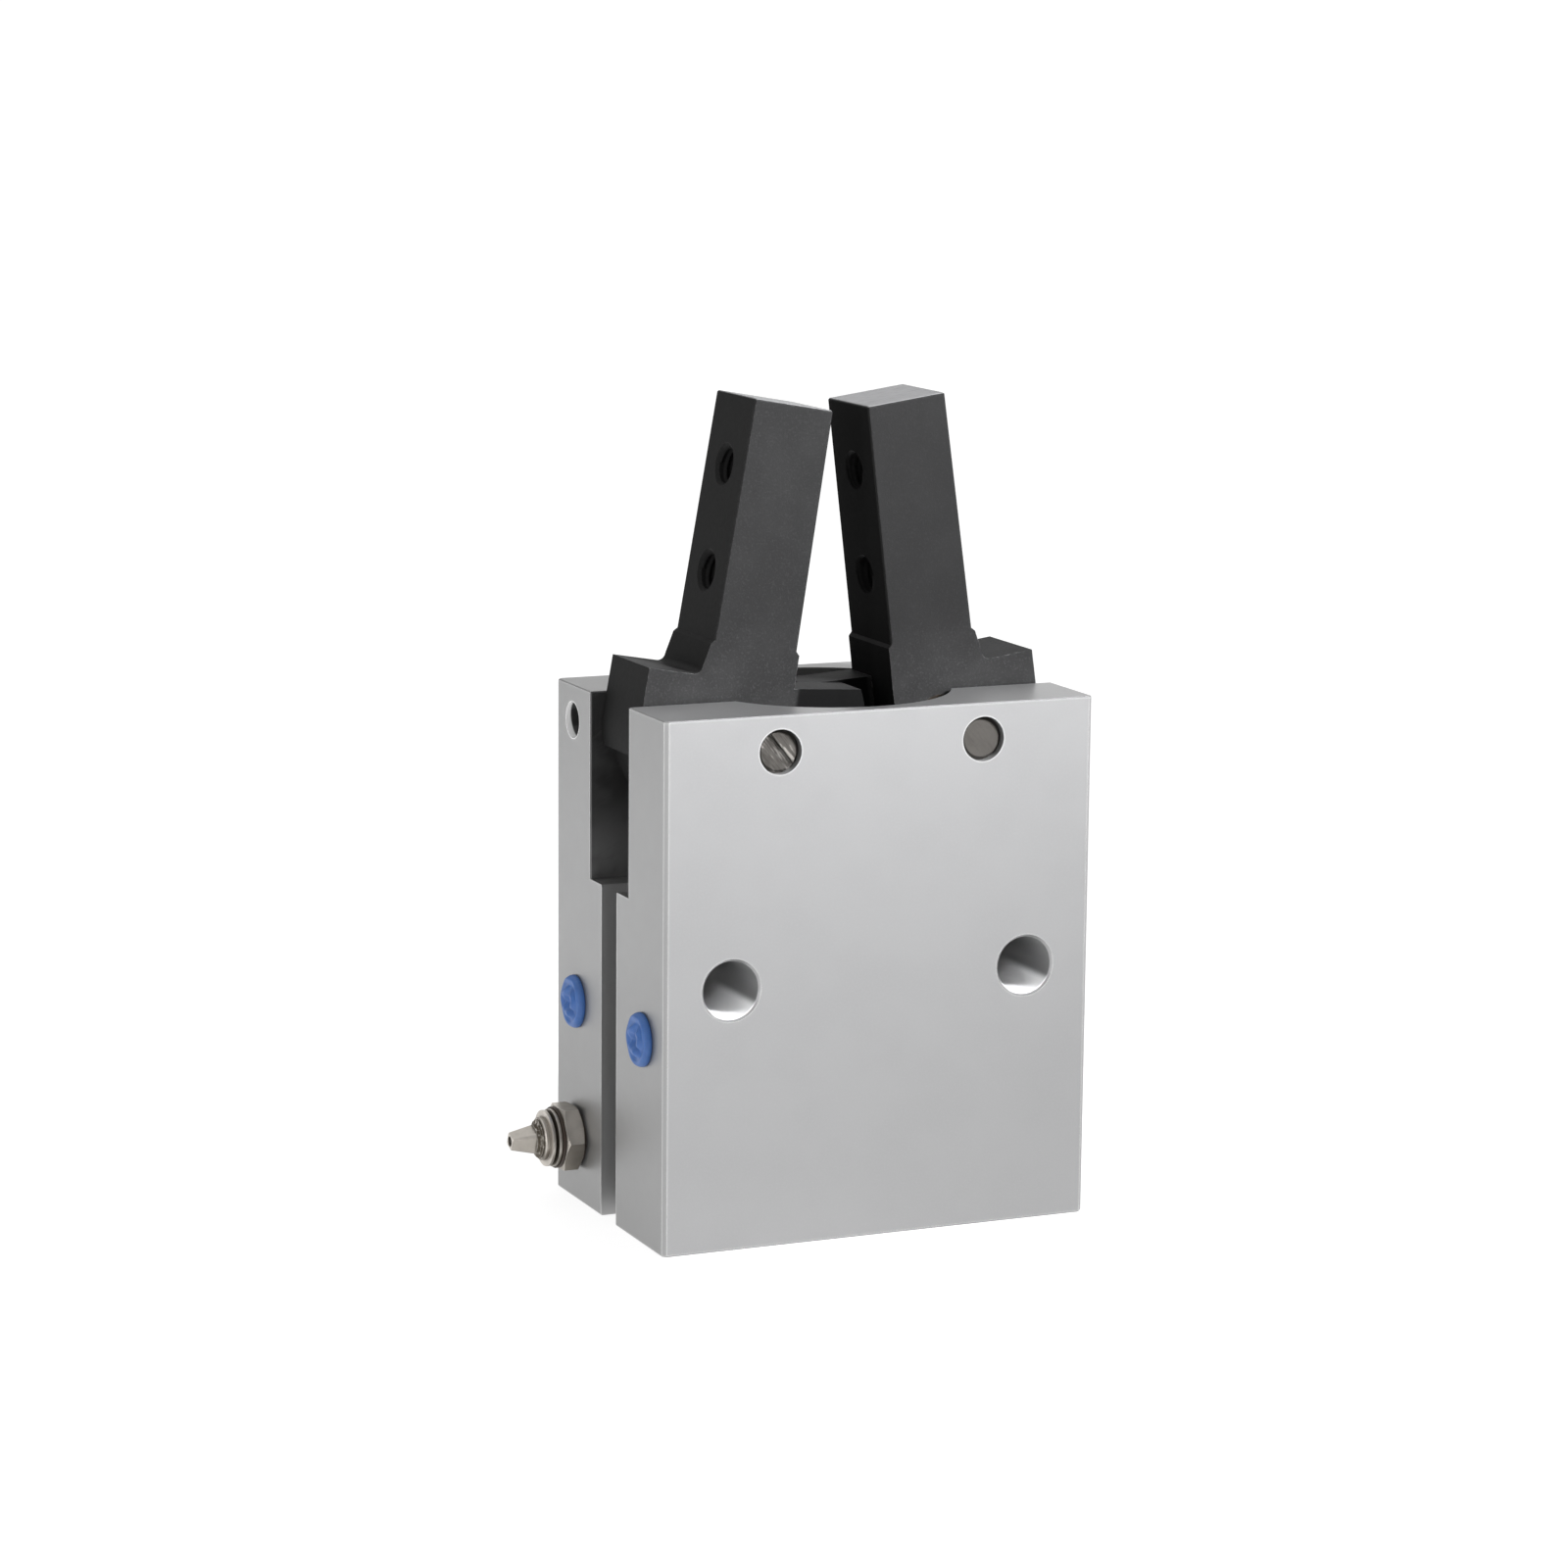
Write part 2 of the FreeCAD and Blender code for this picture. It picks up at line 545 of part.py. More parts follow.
def make_nipple():
    """The screwed-in stem: thread, hexagon, and a spigot inside the union nut."""
    back = -GASKET_T - HEX_T
    spigot_end = back - SEAL_T - NUT_T - COLLAR_T
    corner_r = HEX_AF / math.sqrt(3)
    hex_part = hexagon(HEX_AF, NIPPLE_AT - AXIS_X * GASKET_T, HEX_T, V(-1, 0, 0))
    lead = lathe(
        [(-GASKET_T, 0), (-GASKET_T, HEX_AF / 2 - 0.1), (-GASKET_T - 0.3, corner_r),
         (back + 0.3, corner_r), (back, HEX_AF / 2 - 0.1), (back, 0)],
        NIPPLE_AT, AXIS_X)
    turned = lathe(
        [(4.6, 0), (4.6, 1.7), (4.2, STEM_R), (spigot_end, STEM_R), (spigot_end, 0)],
        NIPPLE_AT, AXIS_X)
    nipple = hex_part.common(lead).fuse(turned).removeSplitter()
    return nipple.cut(rod(0.7, NIPPLE_AT + AXIS_X * 6, NIPPLE_AT + AXIS_X * (spigot_end - 1)))


def make_nipple_seal():
    """The dark ring between the hexagon and the union nut."""
    at, bore_r = -GASKET_T - HEX_T, STEM_R + 0.05
    return lathe(
        [(at, bore_r), (at, SEAL_OUTER_R), (at - SEAL_T, SEAL_OUTER_R), (at - SEAL_T, bore_r)],
        NIPPLE_AT, AXIS_X)


def make_union_nut():
    """A turned nut: two thin crests with a deep gap, and a collar where the barb comes out."""
    at, bore_r = -GASKET_T - HEX_T - SEAL_T, STEM_R + 0.05
    end = -NUT_T - COLLAR_T
    crest_r, gap_r, collar_r = 3.35, 2.45, 2.5
    shape = [
        (0, bore_r), (0, crest_r - 0.1), (-0.1, crest_r), (-0.4, crest_r), (-0.5, gap_r),
        (-0.8, gap_r), (-0.85, crest_r - 0.1), (-NUT_T + 0.05, crest_r - 0.1),
        (-NUT_T, collar_r), (end + 0.15, collar_r), (end, collar_r - 0.15), (end, bore_r),
    ]
    return lathe([(at + a, r) for a, r in shape], NIPPLE_AT, AXIS_X)


def make_barb():
    """The tapered hose tail, with flats milled along it."""
    at = -GASKET_T - HEX_T - SEAL_T - NUT_T - COLLAR_T
    root_r, tip_r, bore_r = 1.75, 1.05, 0.6
    shape = [
        (0, bore_r), (0, 2.2), (-0.2, 2.2), (-0.3, root_r), (-BARB_L + 0.1, tip_r),
        (-BARB_L, tip_r - 0.1), (-BARB_L, bore_r),
    ]
    tail = lathe([(at + a, r) for a, r in shape], NIPPLE_AT, AXIS_X)
    taper = math.degrees(math.atan((root_r - tip_r) / BARB_L))
    for turn in range(20, 380, 90):
        cutter = block((-BARB_L - 1, 0), (-3, 3), (root_r - 0.38, 4))
        cutter.rotate(V(0, 0, 0), AXIS_Y, -taper)
        cutter.rotate(V(0, 0, 0), AXIS_X, turn)
        cutter.translate(NIPPLE_AT + AXIS_X * (at - 0.4))
        tail = tail.cut(cutter)
    return tail


# ---- everything -----------------------------------------------------------------------------
def make_parts():
    cap_ring_z = CAP_Z0 - RING_T - 0.1
    parts = {
        "body_block": make_body(),
        "end_cap": make_end_cap(),
        "end_cap_oring": o_ring(4.5),
        "end_cap_retaining_ring": make_retaining_ring(CYLINDER_R, cap_ring_z, 1.6),
        "lower_bumper": make_bumper(CAP_FACE_Z),
        "upper_bumper": make_bumper(COVER_Z0 - 1.4),
        "rod_cover": make_rod_cover(),
        "rod_cover_oring": o_ring(31.9),
        "rod_cover_retaining_ring": make_retaining_ring(TOP_BORE_R, SLOT_FLOOR_Z + 0.05, 1.7),
        "rod_bush": make_rod_bush(),
        "rod_seal": make_rod_seal(),
        "forked_piston_rod": make_forked_rod(),
        "center_pin": make_center_pin(),
        "roller_front": make_roller(FRONT),
        "roller_back": make_roller(BACK),
        "piston_lower": make_piston_lower(),
        "piston_upper": make_piston_upper(),
        "piston_magnet": make_magnet(),
        "piston_seal": make_piston_seal(),
        "piston_wear_ring": make_wear_ring(),
        "piston_screw": make_piston_screw(),
        "port_plug_front": make_port_plug(FRONT),
        "port_plug_back": make_port_plug(BACK),
        "nipple_gasket": make_nipple_gasket(),
        "nipple_hex_stem": make_nipple(),
        "nipple_seal": make_nipple_seal(),
        "nipple_union_nut": make_union_nut(),
        "nipple_barb": make_barb(),
    }
    for name, side in (("left", LEFT), ("right", RIGHT)):
        parts["finger_" + name] = make_finger(side)
        parts["finger_bush_" + name] = make_finger_bush(side)
        parts["pivot_pin_" + name] = make_pivot_pin(side)
        parts["pin_set_screw_" + name] = make_set_screw(side)
        parts["slot_liner_%s_front" % name] = make_liner(side, FRONT)
        parts["slot_liner_%s_back" % name] = make_liner(side, BACK)
    return parts


def main():
    os.makedirs("parts", exist_ok=True)
    for name, shape in make_parts().items():
        if not shape.isValid() or len(shape.Solids) != 1 or shape.Volume <= 0:
            print("CHECK", name, shape.isValid(), len(shape.Solids), round(shape.Volume, 2))
        solid = shape.Solids[0] if len(shape.Solids) == 1 else shape
        solid.exportStep(os.path.join("parts", name + ".step"))


main()
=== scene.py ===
"""The looks of the angular gripper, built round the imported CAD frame. Metres, +Z up."""

import json
import math

import bpy
from mathutils import Matrix, Vector


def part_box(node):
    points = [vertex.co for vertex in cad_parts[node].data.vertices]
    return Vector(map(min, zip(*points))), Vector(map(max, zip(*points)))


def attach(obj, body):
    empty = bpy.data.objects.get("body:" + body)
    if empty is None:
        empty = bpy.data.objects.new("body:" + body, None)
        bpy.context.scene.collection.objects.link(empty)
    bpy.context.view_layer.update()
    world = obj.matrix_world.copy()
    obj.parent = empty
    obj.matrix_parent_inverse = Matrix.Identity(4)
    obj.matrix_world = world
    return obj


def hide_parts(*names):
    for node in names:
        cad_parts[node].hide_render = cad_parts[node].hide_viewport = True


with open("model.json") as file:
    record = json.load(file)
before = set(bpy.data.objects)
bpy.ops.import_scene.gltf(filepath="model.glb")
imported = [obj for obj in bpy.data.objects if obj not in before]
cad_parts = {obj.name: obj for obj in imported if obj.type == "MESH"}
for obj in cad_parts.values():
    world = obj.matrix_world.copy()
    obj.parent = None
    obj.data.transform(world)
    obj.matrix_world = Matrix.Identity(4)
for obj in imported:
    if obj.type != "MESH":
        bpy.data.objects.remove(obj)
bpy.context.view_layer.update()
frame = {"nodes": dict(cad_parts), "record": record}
MM = 0.001
SIDES = {"left": -1, "right": 1}


def middle(node):
    """The middle of a CAD node's box."""
    low, high = (Vector(corner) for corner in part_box(node))
    return (low + high) / 2


BODY_HALF_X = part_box("body_block")[1][0]
PIVOT = middle("pivot_pin_right")
PIN_END_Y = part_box("pivot_pin_right")[1][1]
SET_SCREW_END_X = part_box("pin_set_screw_right")[1][0]
NUT_END_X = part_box("nipple_union_nut")[0][0]

FINGER_TILT = {"left": math.radians(10.0), "right": math.radians(8.2)}
FINGER_REACH = 37.4 * MM                       # from the pivot to the ground end of a finger
ARM_OUTER, ARM_INNER = 5.2 * MM, 4.5 * MM      # from the pivot's line to the arm's faces near its tip
LEVER_START = 6.0 * MM                         # from that line to where the lever sets off
JAW_HOLES = {"lower": 17.5 * MM, "upper": 29.5 * MM}    # reach of the finger's tapped holes
ARM_PAINTED_SHADE = {"left": 0.5, "right": 0.7}     # share of painted shade on each arm, more on the right

MOUNT_HOLE = Vector((18.0, 0, 29.6)) * MM
MOUNT_HOLE_R, PIN_BORE_R = 3.3 * MM, 2.52 * MM
TAPPED_R, THREAD_PITCH, THREAD_DEPTH = 2.1 * MM, 0.8 * MM, 0.24 * MM
SET_SCREW_Y = 11.5 * MM
BASE_THREAD_START = Vector((18.0, 0, 0.5)) * MM         # in the base's right hole
BASE_THREAD_END = Vector((18.0, 0, 9.5)) * MM
SLOT_FLOOR_Z, SLOT_HALF_Y = 38.5 * MM, 6.0 * MM
GROOVE_FLOOR_X, GROOVE_HALF_Y = 21.8 * MM, 2.3 * MM
PIN_SLOT_DEPTH = 0.35 * MM


def arm_frame(side):
    """Pivot point, direction up the arm, and direction from its outer to its inner face."""
    sign, tilt = SIDES[side], FINGER_TILT[side]
    pivot = Vector((sign * PIVOT.x, 0, PIVOT.z))
    up = Vector((-sign * math.sin(tilt), 0, math.cos(tilt)))
    inwards = Vector((-sign * math.cos(tilt), 0, -math.sin(tilt)))
    return pivot, up, inwards


# ---- node material helper ---------------------------------------------------------------------
class Surface:
    """A Principled material that is built up layer by layer in the object's own coordinates."""

    def __init__(self, name, color, metallic, roughness, specular=0.5):
        self.material = bpy.data.materials.new(name)
        self.material.use_nodes = True
        self.tree = self.material.node_tree
        self.shader = self.tree.nodes["Principled BSDF"]
        self.shader.inputs["Specular IOR Level"].default_value = specular
        self.color = (*color, 1)
        self.metal = metallic
        self.rough = roughness
        self.normal = None
        coordinates = self.node("ShaderNodeTexCoord")
        self.place = coordinates.outputs["Object"]
        self.facing = coordinates.outputs["Normal"]

    def node(self, kind, **settings):
        """A new node with these settings."""
        made = self.tree.nodes.new(kind)
        for key, value in settings.items():
            setattr(made, key, value)
        return made

    def link(self, source, target):
        """Feeds an input from another socket, or sets it to a plain value."""
        if isinstance(source, bpy.types.NodeSocket):
            self.tree.links.new(source, target)
        else:
            target.default_value = source

    def math(self, operation, a, b=0.0, clamp=False):
        made = self.node("ShaderNodeMath", operation=operation, use_clamp=clamp)
        self.link(a, made.inputs[0])
        self.link(b, made.inputs[1])
        return made.outputs[0]

    def vector(self, operation, a, b=(0, 0, 0)):
        made = self.node("ShaderNodeVectorMath", operation=operation)
        self.link(a, made.inputs[0])
        self.link(b, made.inputs[1])
        scalar = operation in ("DOT_PRODUCT", "LENGTH")
        return made.outputs["Value" if scalar else "Vector"]

    def along(self, direction):
        """How far the point lies along a direction from the origin."""
        return self.vector("DOT_PRODUCT", self.place, direction)

    def turned_to(self, direction):
        """1 where the surface faces a direction, and -1 where it faces away."""
        return self.vector("DOT_PRODUCT", self.facing, direction)

    def mix(self, factor, a, b):
        made = self.node("ShaderNodeMix", data_type="RGBA")
        self.link(factor, made.inputs["Factor"])
        self.link(a, made.inputs["A"])
        self.link(b, made.inputs["B"])
        return made.outputs["Result"]

    def ramp(self, value, low, high):
        """0 at low and 1 at high, smooth between. Low may be the larger one."""
        made = self.node("ShaderNodeMapRange", interpolation_type="SMOOTHSTEP")
        self.link(value, made.inputs["Value"])
        made.inputs["From Min"].default_value = low
        made.inputs["From Max"].default_value = high
        return made.outputs["Result"]

    def noise(self, size, detail=3.0, stretch=(1, 1, 1), turn=(0, 0, 0)):
        """Noise whose blotches are about size metres across, drawn out where stretch is small."""
        turned = self.node("ShaderNodeMapping")
        self.link(self.place, turned.inputs["Vector"])
        turned.inputs["Rotation"].default_value = turn
        stretched = self.node("ShaderNodeMapping")
        self.link(turned.outputs["Vector"], stretched.inputs["Vector"])
        stretched.inputs["Scale"].default_value = stretch
        made = self.node("ShaderNodeTexNoise")
        self.link(stretched.outputs["Vector"], made.inputs["Vector"])
        made.inputs["Scale"].default_value = 1 / size
        made.inputs["Detail"].default_value = detail
        return made.outputs["Fac"]

    def spots(self, size, low, high, detail=3.0, **settings):
        """A mask of noise with its contrast set by low and high."""
        return self.ramp(self.noise(size, detail, **settings), low, high)

    def edges(self, radius):
        """A mask that is 1 on edges and 0 on flat stretches."""
        bevel = self.node("ShaderNodeBevel", samples=4)
        bevel.inputs["Radius"].default_value = radius
        facing = self.node("ShaderNodeNewGeometry").outputs["Normal"]
        agree = self.vector("DOT_PRODUCT", bevel.outputs["Normal"], facing)
        return self.ramp(self.math("SUBTRACT", 1.0, agree), 0.01, 0.25)

    def bores(self, keep, radius, *centres):
        """A mask that is 1 within a radius of lines through the centres. Keep drops their direction."""
        found = 0.0
        for centre in centres:
            offset = self.vector("MULTIPLY", self.vector("SUBTRACT", self.place, centre), keep)
            inside = self.ramp(self.vector("LENGTH", offset), radius + 0.06 * MM, radius + 0.02 * MM)
            found = self.math("MAXIMUM", inside, found)
        return found

    def both(self, first, *others):
        """The product of masks: 1 where all of them are 1."""
        for other in others:
            first = self.math("MULTIPLY", first, other)
        return first

    def tint(self, mask, color, amount=1.0):
        """Paints a colour over what is there."""
        self.color = self.mix(self.both(mask, amount), self.color, (*color, 1))

    def rub(self, mask, change):
        """Adds to the roughness."""
        self.rough = self.math("ADD", self.both(mask, change), self.rough, clamp=True)

    def dull(self, mask, change):
        """Takes away from the metallic part, so that more light is scattered."""
        self.metal = self.math("SUBTRACT", self.metal, self.both(mask, change), clamp=True)

    def round_edges(self, radius):
        """Makes edges catch the light as if they were rounded. Comes before raise_by."""
        bevel = self.node("ShaderNodeBevel", samples=4)
        bevel.inputs["Radius"].default_value = radius
        self.normal = bevel.outputs["Normal"]

    def raise_by(self, height, distance, strength=1.0):
        """Bumps the surface by a height map, distance metres high."""
        made = self.node("ShaderNodeBump")
        made.inputs["Strength"].default_value = strength
        made.inputs["Distance"].default_value = distance
        self.link(height, made.inputs["Height"])
        if self.normal is not None:
            self.link(self.normal, made.inputs["Normal"])
        self.normal = made.outputs["Normal"]

    def done(self):
        """Links what was built up to the shader."""
        self.link(self.color, self.shader.inputs["Base Color"])
        self.link(self.metal, self.shader.inputs["Metallic"])
        self.link(self.rough, self.shader.inputs["Roughness"])
        if self.normal is not None:
            self.link(self.normal, self.shader.inputs["Normal"])
        return self.material


def grey(value, warmth=0.0):
    """A grey, or a warm one if warmth is above zero."""
    return (value * (1 + warmth), value, value * (1 - 1.3 * warmth))


def scaled(color, factor):
    """The colour made brighter or darker, no channel above one."""
    return tuple(min(channel * factor, 1.0) for channel in color)


# ---- materials --------------------------------------------------------------------------------
ALONG_X_LINE, ALONG_Y_LINE = (0, 1, 1), (1, 0, 1)        # what counts round a line along X or Y


def satin_alloy(name, shade):
    """Clear anodised aluminium: fine grain and faint clouds.

    Upright edges carry a painted highlight; the edges along the top and bottom of the front and back
    are dull and carry painted shade.
    """
    s = Surface(name, grey(shade), 0.85, 0.40)
    s.tint(s.spots(7 * MM, 0.35, 0.7, 2), grey(shade * 0.95), 0.5)
    s.tint(s.spots(0.25 * MM, 0.4, 0.75, 2), grey(shade * 1.05), 0.35)
    s.rub(s.noise(1.5 * MM, 4), 0.05)
    s.raise_by(s.noise(0.12 * MM, 2), 0.003 * MM, 0.6)
    s.raise_by(s.noise(0.35 * MM, 2, stretch=(1, 1, 0.02)), 0.0015 * MM, 0.4)
    leaning = s.math("ABSOLUTE", s.turned_to((0, 0, 1)))
    # Painted highlight: upright edges are tinted pale and made smoother.
    edge_wear_and_highlight = s.both(s.edges(0.40 * MM), s.ramp(leaning, 0.3, 0.1))
    s.tint(edge_wear_and_highlight, grey(0.85), 0.8)
    s.rub(edge_wear_and_highlight, -0.07)
    sideways = s.math("ABSOLUTE", s.turned_to((1, 0, 0)))
    # Painted shade: edges along the top and bottom of the front and back are tinted dark, and made less
    # metallic and rougher.
    dull_shaded_edge = s.both(
        s.ramp(leaning, 0.4, 0.6), s.ramp(leaning, 0.95, 0.85), s.ramp(sideways, 0.5, 0.2))
    s.tint(dull_shaded_edge, grey(shade * 0.45), 0.9)
    s.dull(dull_shaded_edge, 0.8)
    s.rub(dull_shaded_edge, 0.4)
    return s


def body_alloy():
    """The body's alloy, machined bare in the holes, paler on the slot's floor and in the grooves.

    Painted highlights make the low walls of the mounting holes and the mouths of the set screw holes
    the brightest, and painted shade darkens the set screw holes further in.
    """
    s = satin_alloy("anodised_body", 0.325)
    size = s.vector("ABSOLUTE", s.place)
    half_x = s.vector("DOT_PRODUCT", size, (1, 0, 0))
    half_y = s.vector("DOT_PRODUCT", size, (0, 1, 0))
    height = s.along((0, 0, 1))

    mirrored_mount = Vector((-MOUNT_HOLE.x, 0, MOUNT_HOLE.z))
    mount = s.bores(ALONG_Y_LINE, MOUNT_HOLE_R, MOUNT_HOLE, mirrored_mount)
    pin_line = Vector((PIVOT.x, 0, PIVOT.z))
    mirrored_pin_line = Vector((-PIVOT.x, 0, PIVOT.z))
    pin_bore = s.bores(ALONG_Y_LINE, PIN_BORE_R, pin_line, mirrored_pin_line)
    tapped = s.bores(ALONG_X_LINE, TAPPED_R, Vector((0, SET_SCREW_Y, PIVOT.z)))
    machined = s.math("MAXIMUM", s.math("MAXIMUM", mount, pin_bore), tapped)
    s.tint(machined, grey(0.29), 0.9)
    s.dull(machined, 0.3)

    # Painted shade darkens the set screw hole inside, a little sooner above its middle than below, as
    # light from above falls.
    above_middle = s.math("SUBTRACT", height, PIVOT.z)
    outwards = s.math("SUBTRACT", half_x, s.both(above_middle, 0.08))
    dark_x, bright_x = BODY_HALF_X - 0.70 * MM, BODY_HALF_X - 0.50 * MM
    s.tint(s.both(tapped, s.ramp(outwards, bright_x, dark_x)), grey(0.05), 0.95)
    rings = s.both(machined, s.noise(0.09 * MM, 1, stretch=(0.05, 1, 0.05)))
    s.raise_by(rings, 0.006 * MM, 0.5)

    # Painted highlight: the low walls of the mounting holes near the mouth and the mouths of the set
    # screw holes are painted white and unmetallic.
    low_wall = s.ramp(height, MOUNT_HOLE.z - 1.2 * MM, MOUNT_HOLE.z - 2.2 * MM)
    mount_mouth = s.both(mount, low_wall, s.ramp(half_y, 3 * MM, 8 * MM))
    screw_mouth = s.both(tapped, s.ramp(outwards, dark_x, bright_x))
    bright = s.math("MAXIMUM", mount_mouth, screw_mouth)
    s.tint(bright, grey(1.0), 1.0)
    s.dull(bright, 1.0)

    slot_floor = s.both(
        s.ramp(height, SLOT_FLOOR_Z + 0.4 * MM, SLOT_FLOOR_Z + 0.1 * MM),
        s.ramp(height, SLOT_FLOOR_Z - 0.4 * MM, SLOT_FLOOR_Z - 0.1 * MM),
        s.ramp(half_y, SLOT_HALF_Y + 0.1 * MM, SLOT_HALF_Y - 0.1 * MM))
    s.tint(slot_floor, grey(0.34), 0.9)
    groove = s.both(
        s.ramp(half_y, GROOVE_HALF_Y + 0.3 * MM, GROOVE_HALF_Y + 0.1 * MM),
        s.ramp(half_x, BODY_HALF_X - 0.1 * MM, BODY_HALF_X - 0.3 * MM),
        s.ramp(half_x, GROOVE_FLOOR_X - 3.8 * MM, GROOVE_FLOOR_X - 2.8 * MM))
    s.tint(groove, grey(0.40), 0.9)
    return s.done()


def blackened_steel():
    """Black oxide over a blasted surface, thin on the edges, with bright ground finger ends.

    Painted shade makes the arms' inner faces and the levers' flat faces the blackest, and the outer
    faces a little darker.
    """
    s = Surface("blackened_steel", grey(0.014), 0.0, 0.62, 0.12)
    s.round_edges(0.12 * MM)
    s.tint(s.spots(5 * MM, 0.38, 0.7), grey(0.021), 0.6)
    s.tint(s.spots(0.20 * MM, 0.5, 0.8), grey(0.045), 0.45)
    s.tint(s.spots(0.45 * MM, 0.60, 0.78, 4), grey(0.008), 0.5)
    s.rub(s.noise(0.5 * MM, 3), 0.10)
    s.raise_by(s.noise(0.16 * MM, 3), 0.016 * MM, 0.8)
    edge_wear_and_highlight = s.both(s.edges(0.16 * MM), s.spots(0.5 * MM, 0.42, 0.62, 4))
    s.tint(edge_wear_and_highlight, grey(0.22), 0.5)
    flat = s.ramp(s.math("ABSOLUTE", s.turned_to((0, 1, 0))), 0.8, 0.95)
    for side, sign in SIDES.items():
        pivot, up, inwards = arm_frame(side)
        own_side = s.ramp(s.along((sign, 0, 0)), -0.5 * MM, 0.0)
        from_pivot = s.vector("SUBTRACT", s.place, pivot)
        reach = s.vector("DOT_PRODUCT", from_pivot, up)
        aside = s.vector("DOT_PRODUCT", from_pivot, inwards)

        # Painted shade: the levers' flat faces and the arms' inner faces are made nearly black, the
        # outer faces a little darker.
        lever = s.both(own_side, flat, s.ramp(aside, LEVER_START - 0.3 * MM, LEVER_START + 0.3 * MM))
        s.tint(lever, grey(0.003), 1.0)
        s.rub(lever, 0.3)
        inner = s.both(own_side, s.ramp(s.turned_to(inwards), 0.8, 0.95))
        s.tint(inner, grey(0.003), 0.97)
        s.rub(inner, 0.3)
        outer = s.both(own_side, s.ramp(s.turned_to(inwards), -0.8, -0.95))
        s.tint(outer, grey(0.012), 0.8)
        # Painted shade on each arm above the shoulder, the right one more.
        arm = s.both(own_side, s.ramp(reach, 4 * MM, 14 * MM))
        s.tint(arm, grey(0.006), ARM_PAINTED_SHADE[side])

        end = s.both(own_side, s.ramp(reach, FINGER_REACH - 0.10 * MM, FINGER_REACH - 0.04 * MM))
        s.tint(end, grey(0.17), 0.9)
        strokes = s.both(end, s.spots(0.25 * MM, 0.45, 0.7, 4, stretch=(0.08, 1, 1)))
        s.tint(strokes, grey(0.10), 0.6)
        s.rub(end, 0.15)
    return s.done()


def black_liner():
    """Smooth black plate with long faint rub marks, and painted light that makes it paler towards the
    slot's floor.
    """
    s = Surface("black_liner", grey(0.017), 0.0, 0.40)
    s.round_edges(0.05 * MM)
    # Painted light: the plate is made paler towards the slot's floor.
    foot = s.ramp(s.along((0, 0, 1)), SLOT_FLOOR_Z + 11 * MM, SLOT_FLOOR_Z + 2 * MM)
    s.tint(foot, grey(0.13), 0.8)
    s.tint(s.spots(3.5 * MM, 0.45, 0.7, 2), grey(0.045), 0.6)
    s.tint(s.spots(0.3 * MM, 0.55, 0.75, 3, stretch=(0.15, 1, 1), turn=(0, 0.5, 0)), grey(0.05), 0.4)
    s.rub(s.noise(2.0 * MM, 4), 0.14)
    s.raise_by(s.noise(0.15 * MM, 3), 0.006 * MM, 0.6)
    return s.done()


def turned_steel(name, color, roughness, metallic=0.95):
    """Steel with fine turning marks round the Y axis and brighter edges."""
    s = Surface(name, color, metallic, roughness)
    s.round_edges(0.06 * MM)
    s.tint(s.spots(1.2 * MM, 0.4, 0.7, 4), scaled(color, 0.78), 0.5)
    s.rub(s.noise(0.4 * MM, 4), 0.12)
    s.raise_by(s.noise(0.07 * MM, 2, stretch=(1, 0.15, 1)), 0.005 * MM, 0.5)
    s.tint(s.edges(0.1 * MM), scaled(color, 1.4), 0.5)
    return s


def cut_pin():
    """Pin steel with slanting saw marks on its ends, deeper on the left pin than on the right."""
    s = turned_steel("cut_pin_steel", grey(0.052, 0.08), 0.55, 0.6)
    sawn = s.noise(0.35 * MM, 5, stretch=(1, 1, 0.16), turn=(0, math.radians(38), 0))
    left_pin = s.ramp(s.along((1, 0, 0)), 2 * MM, -2 * MM)
    share = s.math("ADD", s.both(left_pin, 0.75), 0.25)
    marks = s.math("ADD", s.both(s.math("SUBTRACT", sawn, 0.5), share), 0.5)
    s.tint(s.ramp(marks, 0.52, 0.38), grey(0.022, 0.12), 0.7)
    s.tint(s.ramp(marks, 0.56, 0.66), grey(0.24, 0.06), 0.7)
    s.raise_by(marks, 0.06 * MM, 0.8)
    depth = s.vector("DOT_PRODUCT", s.vector("ABSOLUTE", s.place), (0, 1, 0))
    floor_y = PIN_END_Y - PIN_SLOT_DEPTH
    slot_floor = s.both(
        s.ramp(depth, floor_y + 0.07 * MM, floor_y + 0.03 * MM),
        s.ramp(depth, floor_y - 0.10 * MM, floor_y - 0.05 * MM))
    # Painted highlight: the floor of each pin's slot is tinted light where the saw marks run high.
    s.tint(s.both(slot_floor, s.ramp(marks, 0.40, 0.6)), grey(0.16, 0.05), 0.8)
    return s.done()


